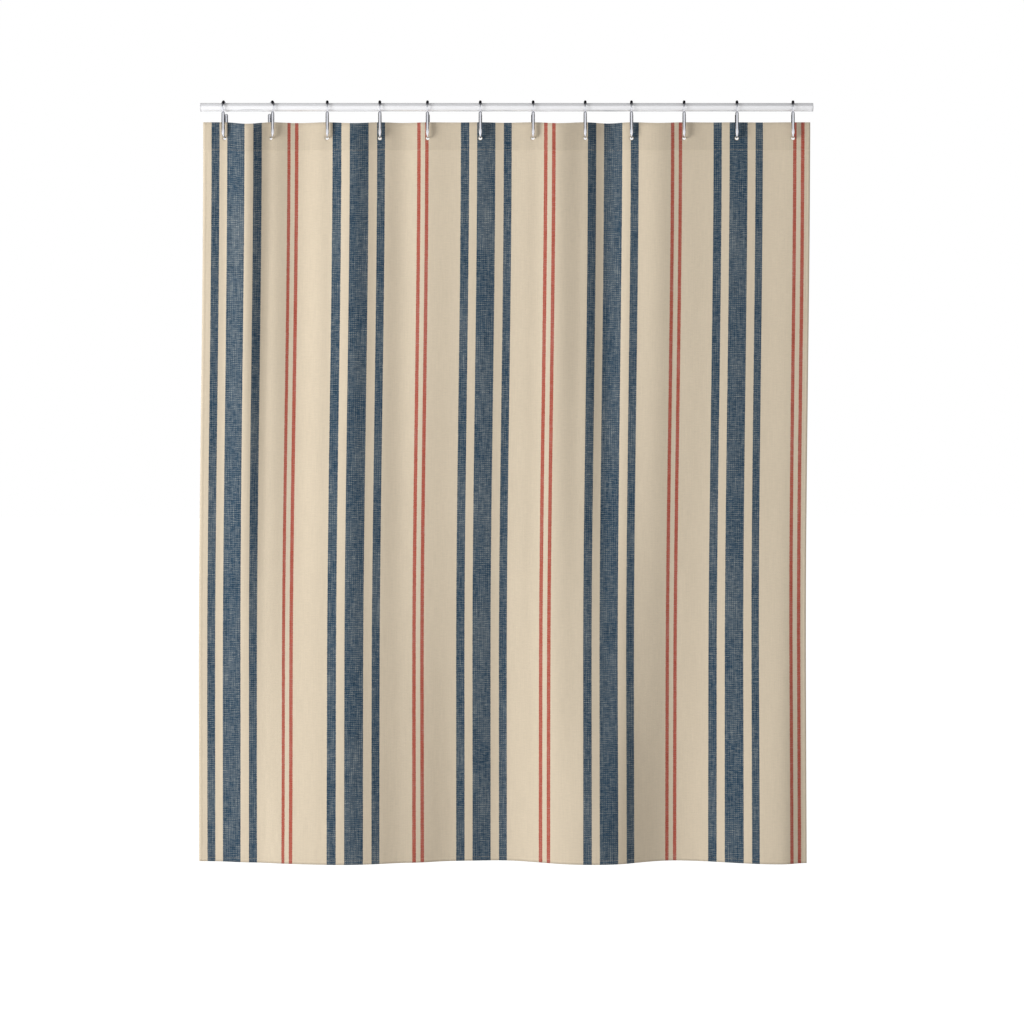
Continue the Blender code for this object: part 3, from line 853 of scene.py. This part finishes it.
print("rims", len(HOOKS), "with", STITCHES_ROUND, "stitches each")

# %% [markdown]
# Lockstitch seams hold the hems. Each stitch is a short plump grain of thread, half sunk in the
# cloth, and the same small mesh is repeated along each seam on the front and on the back.

# %% Stitched seams
STITCH_PITCH = 0.0040
STITCH_LENGTH = 0.0033
STITCH_WIDTH = 0.0005
GRAIN_ENDS = np.array([-1.0, -0.62, 0.0, 0.62, 1.0])      # along the grain
GRAIN_SWELL = np.array([0.12, 0.78, 1.0, 0.78, 0.12])     # its thickness there
GRAIN_SIDES = 6


def pitch_line(low, high):
    """Places of stitches from low to high, one pitch apart and one pitch clear of the ends."""
    return np.arange(low + STITCH_PITCH, high - STITCH_PITCH, STITCH_PITCH)


def stitch_row_across(name, v_at):
    """A seam from side to side at one depth."""
    u = pitch_line(0.0, FLAT_WIDTH)
    return stitch_grains(name, u, np.full_like(u, v_at), False)


def stitch_row_down(name, u_at):
    """A seam from the header to the bottom hem at one place across."""
    v = pitch_line(HEADER_DEPTH, CLOTH_HEIGHT - BOTTOM_HEM)
    return stitch_grains(name, np.full_like(v, u_at), v, True)


def stitch_grains(name, u, v, runs_down):
    """One grain of thread at each flat place (u, v) on the front and on the back of the cloth."""
    step = 0.001
    if runs_down:
        block = surface(np.array([u[0] - step, u[0], u[0] + step]), v)
        here, press = block[:, 1], seam_press(u[:1], v)[:, 0]
        other = block[:, 2] - block[:, 0]
        along = np.gradient(here, axis=0)
        normal = np.cross(along, other)
    else:
        block = surface(u, np.array([v[0] - step, v[0], v[0] + step]))
        here, press = block[1], seam_press(u, v[:1])[0]
        other = block[2] - block[0]
        along = np.gradient(here, axis=0)
        normal = np.cross(other, along)
    along = along / np.linalg.norm(along, axis=1, keepdims=True)
    normal = normal / np.linalg.norm(normal, axis=1, keepdims=True)
    normal = normal * np.sign(normal[:, 1:2].mean())
    side = np.cross(along, normal)
    ring = np.linspace(0, 2 * np.pi, GRAIN_SIDES, endpoint=False)
    lengthwise = GRAIN_ENDS * STITCH_LENGTH / 2
    sideways = GRAIN_SWELL[:, None] * np.cos(ring) * STITCH_WIDTH / 2
    outwards = GRAIN_SWELL[:, None] * np.sin(ring) * STITCH_WIDTH / 2
    one = grid_faces(len(GRAIN_ENDS), GRAIN_SIDES, wrap_columns=True)
    corners = len(GRAIN_ENDS) * GRAIN_SIDES
    cap = np.arange(GRAIN_SIDES)
    caps = np.array([cap, corners - 1 - cap])
    points, faces = [], []
    for layer, push in enumerate((-PANEL_THICK / 2, LAYER_STEP + HEM_THICK / 2)):
        centre = here + normal * (press + push)[:, None]
        grain = (centre[:, None, None, :]
                 + along[:, None, None, :] * lengthwise[None, :, None, None]
                 + side[:, None, None, :] * sideways[None, ..., None]
                 + normal[:, None, None, :] * outwards[None, ..., None])
        points.append(grain.reshape(-1, 3))
        starts = (np.arange(len(u)) + layer * len(u)) * corners
        faces += (starts[:, None, None] + one[None]).reshape(-1, 4).tolist()
        faces += (starts[:, None, None] + caps[None]).reshape(-1, GRAIN_SIDES).tolist()
    thing = mesh_object(name, np.concatenate(points), faces)
    outward(thing)
    return thing


seams = [
    stitch_row_across("header_stitches", HEADER_SEAM),
    stitch_row_across("bottom_stitches", BOTTOM_SEAM),
    stitch_row_down("left_stitches", SIDE_SEAM),
    stitch_row_down("right_stitches", FLAT_WIDTH - SIDE_SEAM),
]
for seam in seams:
    seam.data.materials.append(THREAD)
print("seams", len(seams))

# %% [markdown]
# A hook is one bent wire whose thickness changes along it: a thin crook over the rod, a thin neck,
# a thick front leg, a thin curl through the buttonhole, and a thick rear leg with a rounded end.
# Its middle line lies in one plane, so the sweep is simple: at each station a circle stands across
# the line, made from the plane's own normal and the line's.

# %% Hook sizes
WIRE_RADIUS = 0.0015
LEG_RADIUS = 0.0042
CURL_RADIUS = 0.0019
LEG_SPREAD = 0.011        # from the hook's middle to each leg
LEG_BELOW_ROD = 0.0014
REAR_LEG_DROP = 0.0024
HOOK_RUN = 0.0003         # gap between the hook and the rod
CROOK_END_DEG = -25.0     # the crook runs between these round the rod, with 90 at the top
CROOK_FRONT_DEG = 98.0
NECK_OUT = 0.006          # the neck's pull point, before the roller and below the rod's middle
NECK_DOWN = 0.004
DOME_RISE = 0.8 * LEG_RADIUS      # height of a leg's rounded end
TIP_SHARE = 0.02          # radius at a tip, as a share of the wire's
CURL_THINS = 0.8          # power that sets how soon the curl thins
ROLLER_DEG = 45.0
ROLLER_RADIUS = 0.0036
ROLLER_LENGTH = 0.0105
ROLLER_BORE_GAP = 0.0003
ROLLER_END_ROOM = 0.0012
STITCH_SEAT = 0.0005
CURL_Z = HOLE_Z + HOLE_HALF_HEIGHT - STITCH_SEAT - CURL_RADIUS
HOOK_TURN_DEG = (14, -27, -5, -3, 2, 0, -2, 2, 4, 5, 3, 6)


# %% Hook shape
def slant(turn_deg):
    """How much longer the way across the rod is for a hook turned by this much."""
    return 1.0 / math.cos(math.radians(turn_deg))


def wire_rows(y, z, radius):
    """Rows of (y, z, radius); any of the three may be one number for all the rows."""
    return np.stack(np.broadcast_arrays(y, z, radius), 1)


def roller_seat(turn_deg):
    """Middle of the roller and the wire's direction through it, as (y, z) in the hook's plane."""
    reach = ROD_RADIUS + HOOK_RUN + ROLLER_RADIUS
    angle = math.radians(ROLLER_DEG)
    centre = np.array([-reach * math.cos(angle) * slant(turn_deg), reach * math.sin(angle)])
    along = np.array([-math.sin(angle) * slant(turn_deg), -math.cos(angle)])
    return centre, along / np.linalg.norm(along)


def upper_wire(turn_deg, top):
    """The thin wire: an arc over the rod, a straight run in the roller and a neck to the front leg.

    The neck is a curve with one pull point: (1 - t)^2 start + 2 t (1 - t) pull + t^2 end.
    """
    crook = ROD_RADIUS + HOOK_RUN + WIRE_RADIUS
    turn = np.radians(np.linspace(CROOK_END_DEG, CROOK_FRONT_DEG, 24))
    over = wire_rows(crook * np.cos(turn) * slant(turn_deg), crook * np.sin(turn), WIRE_RADIUS)
    centre, along = roller_seat(turn_deg)
    half = ROLLER_LENGTH / 2 + ROLLER_END_ROOM
    straight = centre + along * np.linspace(-half, half, 5)[:, None]
    start, end = straight[-1], np.array([-LEG_SPREAD, top])
    pull = np.array([start[0] - NECK_OUT, -NECK_DOWN])
    t = np.linspace(0, 1, 12)[1:-1, None]
    neck = (1 - t) ** 2 * start + 2 * t * (1 - t) * pull + t * t * end
    return np.concatenate([over, *(wire_rows(*part.T, WIRE_RADIUS) for part in (straight, neck))])


def hook_route(turn_deg):
    """The hook's middle line as rows of (y, z, radius), from the crook's end to the rear leg's top."""
    top = -(ROD_RADIUS + LEG_BELOW_ROD)
    rear_top = top - REAR_LEG_DROP
    bend = CURL_Z + LEG_SPREAD
    t = np.array([0.0, 0.03, 0.10, 0.22, 0.38, 0.58, 0.8, 1.0])
    dome = np.sqrt(1 - (1 - t) ** 2)
    shoulder = wire_rows(-LEG_SPREAD, top - DOME_RISE * t, WIRE_RADIUS + (LEG_RADIUS - WIRE_RADIUS) * dome)
    legs = np.array([0.25, 0.5, 0.75])
    leg_top = shoulder[-1, 1]
    front = wire_rows(-LEG_SPREAD, leg_top + (bend - leg_top) * legs, LEG_RADIUS)
    turn = np.radians(np.linspace(180, 360, 31))
    curl_radius = LEG_RADIUS + (CURL_RADIUS - LEG_RADIUS) * np.sin(turn - math.pi).clip(0) ** CURL_THINS
    curl = wire_rows(LEG_SPREAD * np.cos(turn), bend + LEG_SPREAD * np.sin(turn), curl_radius)
    rear = wire_rows(LEG_SPREAD, bend + (rear_top - LEG_RADIUS - bend) * legs, LEG_RADIUS)
    end_radius = LEG_RADIUS * (TIP_SHARE + (1 - TIP_SHARE) * dome)
    rounded = wire_rows(LEG_SPREAD, rear_top - DOME_RISE * t, end_radius)[::-1]
    return np.concatenate([upper_wire(turn_deg, top), shoulder, front, curl, rear, rounded])


def swept(route, sides=24):
    """Rings of points round a line in the YZ plane: centre + r (cos a X + sin a N), N across the line."""
    centre = np.stack([np.zeros(len(route)), route[:, 0], route[:, 1]], 1)
    along = np.gradient(centre, axis=0)
    along /= np.linalg.norm(along, axis=1, keepdims=True)
    across = np.array([1.0, 0.0, 0.0])
    normal = np.cross(along, across)
    angle = np.linspace(0, 2 * np.pi, sides, endpoint=False)
    ring = np.cos(angle)[None, :, None] * across + np.sin(angle)[None, :, None] * normal[:, None, :]
    return centre[:, None, :] + ring * route[:, 2][:, None, None]


def turned_about_z(points, degrees, place):
    """Points turned about the upright through the origin, then carried along X to their place."""
    angle = math.radians(degrees)
    cos, sin = math.cos(angle), math.sin(angle)
    turn = np.array([[cos, -sin, 0], [sin, cos, 0], [0, 0, 1]])
    return points @ turn.T + np.array([place, 0.0, 0.0])


def capped_faces(rows, sides):
    """Faces of a tube made of rings, with a cap at each end."""
    last = rows * sides - 1
    caps = [list(range(sides)), list(range(last, last - sides, -1))]
    return grid_faces(rows, sides, wrap_columns=True).tolist() + caps


def make_hook(number, place, turn_deg):
    """One hook, with its crook's end rounded, turned about the upright and put at its place."""
    route = hook_route(turn_deg)
    away = route[0, :2] - route[1, :2]
    away /= np.linalg.norm(away)
    turn = np.array([1.5, 1.1, 0.7, 0.35])
    tip = route[0, :2] + away * WIRE_RADIUS * np.sin(turn)[:, None]
    route = np.concatenate([wire_rows(*tip.T, WIRE_RADIUS * np.cos(turn).clip(TIP_SHARE)), route])
    apart = np.linalg.norm(np.diff(route[:, :2], axis=0), axis=1) > 1e-5
    rings = turned_about_z(swept(route[np.append(True, apart)]), -turn_deg, place)
    hook = mesh_object(f"hook_wire_{number}", rings, capped_faces(*rings.shape[:2]))
    outward(hook)
    return hook


# %% [markdown]
# The hooks are polished chrome with a hint of handling: the roughness wanders a little, and the
# finest scratches catch the light. The rollers are a darker, harder plating.

# %% Metal finishes
def polished(name, tint, roughness, wear, clean=0.9, metallic=1.0):
    """Plated metal: smooth noise moves the roughness, and stretched noise gives faint polishing lines."""
    finish = Finish(name, Metallic=metallic, Specular_IOR_Level=0.5)
    place = finish.node("ShaderNodeTexCoord").outputs["Object"]
    smudge = finish.noise(place, 60.0, 4.0, 0.6)
    lines = finish.noise(finish.stretched(place, (2400.0, 2400.0, 140.0)), 1.0, 2.0)
    rough = finish.plus(roughness, finish.times(smudge, wear))
    dull = tuple(channel * clean for channel in tint[:3]) + (1.0,)
    base = finish.mix(finish.ramp(smudge, 0.45, 0.75), tint, dull)
    return finish.done(Base_Color=base, Roughness=rough, Normal=finish.bump(lines, 0.00002, 0.25))


CHROME = polished("hook_chrome", (0.74, 0.75, 0.80, 1.0), 0.06, 0.12)
DARK_CHROME = polished("roller_chrome", (0.05, 0.05, 0.06, 1.0), 0.12, 0.14)
ROD_STEEL = polished("rod_steel", (0.93, 0.93, 0.95, 1.0), 0.16, 0.06, 0.98, 0.32)

# %% Make the hooks
for number, place, turn_deg in zip(HOOKS, HOOK_X, HOOK_TURN_DEG):
    hook = make_hook(number, place, turn_deg)
    hook.data.materials.append(CHROME)
    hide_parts(f"hook_{number}")
    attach(hook, f"hook_{number}")
print("hook mesh", len(hook.data.polygons), "faces")


# %% [markdown]
# The rod, its plugs and the rollers are turned shapes: an outline of radius against length, spun
# round its axis. A real tube has small rounded lips, so the outlines carry short arcs at their
# corners, which catch a line of light.

# %% Turned pieces
def spun(name, outline, axis, place, sides, closed):
    """Rings of the outline's (along, radius) points round an axis.

    A closed outline joins up with itself, and an open one is capped at its ends.
    """
    outline = np.asarray(outline, float)
    axis = np.asarray(axis, float) / np.linalg.norm(axis)
    helper = np.array([0.0, 0.0, 1.0]) if abs(axis[2]) < 0.9 else np.array([0.0, 1.0, 0.0])
    first = np.cross(helper, axis)
    first /= np.linalg.norm(first)
    second = np.cross(axis, first)
    angle = np.linspace(0, 2 * np.pi, sides, endpoint=False)
    ring = np.cos(angle)[:, None] * first + np.sin(angle)[:, None] * second
    points = np.asarray(place) + outline[:, None, :1] * axis + outline[:, None, 1:] * ring
    rows = len(outline)
    faces = grid_faces(rows, sides, True, True) if closed else capped_faces(rows, sides)
    thing = mesh_object(name, points, faces)
    outward(thing)
    thing.data.set_sharp_from_angle(angle=math.radians(40))
    return thing


def corner(along, radius, round_by, start_deg, end_deg, steps=5):
    """Points on a small arc that rounds off a corner, as (along, radius)."""
    turn = np.radians(np.linspace(start_deg, end_deg, steps))
    return [(along + round_by * math.cos(a), radius + round_by * math.sin(a)) for a in turn]


# %% Rod and end plugs
ROD_WALL = 0.0012
LIP = 0.0003
inner = ROD_RADIUS - ROD_WALL
right_lip = corner(rod_high.x - LIP, ROD_RADIUS - LIP, LIP, 0, 90)
left_lip = corner(rod_low.x + LIP, ROD_RADIUS - LIP, LIP, 90, 180)
rod_outline = right_lip + left_lip + [(rod_low.x, inner), (rod_high.x, inner)]
rod = spun("rod_tube_steel", rod_outline, (1, 0, 0), (0, 0, 0), 96, True)
rod.data.materials.append(ROD_STEEL)
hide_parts("rod_tube")
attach(rod, "rod")

plug_finish = Finish("plug_finish", Roughness=0.3, Coat_Weight=0.3, Coat_Roughness=0.15)
plug_place = plug_finish.node("ShaderNodeTexCoord").outputs["Object"]
grain = plug_finish.noise(plug_place, 900.0, 3.0)
plug_tint = plug_finish.mix(grain, (0.72, 0.72, 0.74, 1.0), (0.80, 0.80, 0.82, 1.0))
PLUG = plug_finish.done(Base_Color=plug_tint, Normal=plug_finish.bump(grain, 0.00005, 0.3))
SPIGOT_RUN = 0.0003       # gap between the spigot and the tube's bore
FLANGE_RUN = 0.0003       # gap between the flange and the tube's end
FLANGE_LIP = 0.0006
GROOVE_IN, GROOVE_OUT = 0.0060, 0.0070      # radii of a shallow groove on the plug's face
GROOVE_DEEP = 0.0002
GROOVE_SLOPE = 0.0003
AXIS_HOLE = 0.0002        # the spun outline stops this close to the axis, and a cap fills it
groove = [
    (0.0, GROOVE_IN), (GROOVE_DEEP, GROOVE_IN + GROOVE_SLOPE),
    (GROOVE_DEEP, GROOVE_OUT - GROOVE_SLOPE), (0.0, GROOVE_OUT)]
for side, end, inward in (("left", 0.0, 1.0), ("right", ROD_END, -1.0)):
    low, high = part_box(f"end_plug_{side}")
    flange = rod_low.x - FLANGE_RUN
    spigot = inner - SPIGOT_RUN
    length = high.x - low.x
    outline = [(0.0, AXIS_HOLE), *groove, *corner(FLANGE_LIP, ROD_RADIUS - FLANGE_LIP, FLANGE_LIP, 180, 90)]
    outline += [(flange, ROD_RADIUS), (flange, spigot), (length, spigot), (length, AXIS_HOLE)]
    plug = spun(f"end_plug_cap_{side}", outline, (inward, 0, 0), (end, 0, 0), 72, False)
    plug.data.materials.append(PLUG)
    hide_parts(f"end_plug_{side}")
    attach(plug, "rod")

# %% Rollers
BARREL_END = 0.80         # radius at the barrel's ends, as a share of its middle
BORE_LIP = 0.0002
half = ROLLER_LENGTH / 2
bore = WIRE_RADIUS + ROLLER_BORE_GAP
barrel_at = np.linspace(-1, 1, 17)
crown = np.sqrt(1 - np.abs(barrel_at) ** 3)
barrel = zip(half * barrel_at, ROLLER_RADIUS * (BARREL_END + (1 - BARREL_END) * crown))
barrel_outline = [
    (-half, bore + BORE_LIP), *barrel, (half, bore + BORE_LIP),
    (half - BORE_LIP, bore), (-half + BORE_LIP, bore)]
for number, place, turn_deg in zip(HOOKS, HOOK_X, HOOK_TURN_DEG):
    centre, along = roller_seat(turn_deg)
    middle = turned_about_z(np.array([[0.0, *centre]]), -turn_deg, place)[0]
    axis = turned_about_z(np.array([[0.0, *along]]), -turn_deg, 0.0)[0]
    roller = spun(f"roller_barrel_{number}", barrel_outline, axis, middle, 40, True)
    roller.data.materials.append(DARK_CHROME)
    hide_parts(f"roller_{number}")
    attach(roller, f"roller_{number}")
print("rollers", len(HOOKS))

# %% [markdown]
# The cloth gathers when the curtain is drawn along the rod. Every cloth piece rides on the
# swaying curtain, and the frame's own cloth parts are hidden.

# %% Ride on the curtain
for thing, node, slot_name in (
        (panel, "curtain_panel", "ticking_cloth"), (top_hem, "top_hem", "hem_cloth"),
        (bottom_hem, "bottom_hem", "hem_cloth"), (left_hem, "left_hem", "hem_cloth"),
        (right_hem, "right_hem", "hem_cloth")):
    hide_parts(node)
for thing in (panel, top_hem, bottom_hem, left_hem, right_hem, *seams):
    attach(thing, "curtain")
    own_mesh(thing)
